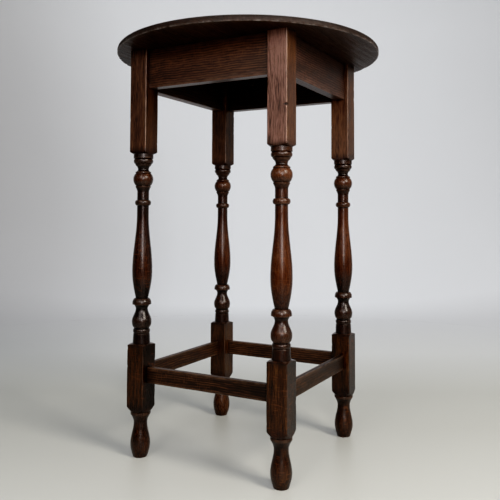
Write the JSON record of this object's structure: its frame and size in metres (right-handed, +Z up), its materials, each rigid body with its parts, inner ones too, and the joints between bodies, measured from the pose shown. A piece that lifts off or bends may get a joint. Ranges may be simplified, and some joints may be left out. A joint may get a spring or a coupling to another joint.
{
  "type": "side table",
  "caption": "Round-topped dark oak side table on turned legs, with a square frieze and low box stretchers, for holding a lamp, a vase or drinks.",
  "frame": {"origin": "the table's upright centre line, on the floor", "axes": "+Z up, +Y from the front apron to the back apron along the boards of the top, +X to the right"},
  "size_m": [0.4712, 0.4712, 0.707],
  "materials": {
    "dark_oak_leg": "dark reddish-brown stained oak, waxed to a soft sheen, worn lighter along the arrises",
    "dark_oak_apron": "very dark brown stained oak, waxed, fine grain along the length",
    "dark_oak_stretcher": "dark brown stained oak, waxed, rubbed along its upper edges",
    "dark_oak_top": "dark stained oak, waxed on top, drier and greyer beneath, with a worn and chipped edge",
    "screw_steel": "dull old steel with a brown tarnish"
  },
  "bodies": {
    "root": {"leg_front_left": "dark_oak_leg", "leg_front_right": "dark_oak_leg", "leg_back_right": "dark_oak_leg", "leg_back_left": "dark_oak_leg", "apron_front": "dark_oak_apron", "apron_right": "dark_oak_apron", "apron_back": "dark_oak_apron", "apron_left": "dark_oak_apron", "stretcher_front": "dark_oak_stretcher", "stretcher_right": "dark_oak_stretcher", "stretcher_back": "dark_oak_stretcher", "stretcher_left": "dark_oak_stretcher", "top_board_left": "dark_oak_top", "top_board_centre": "dark_oak_top", "top_board_right": "dark_oak_top", "top_screw_front_a": "screw_steel", "top_screw_front_b": "screw_steel", "top_screw_right_a": "screw_steel", "top_screw_right_b": "screw_steel", "top_screw_back_a": "screw_steel", "top_screw_back_b": "screw_steel", "top_screw_left_a": "screw_steel", "top_screw_left_b": "screw_steel"}
  },
  "joints": []
}
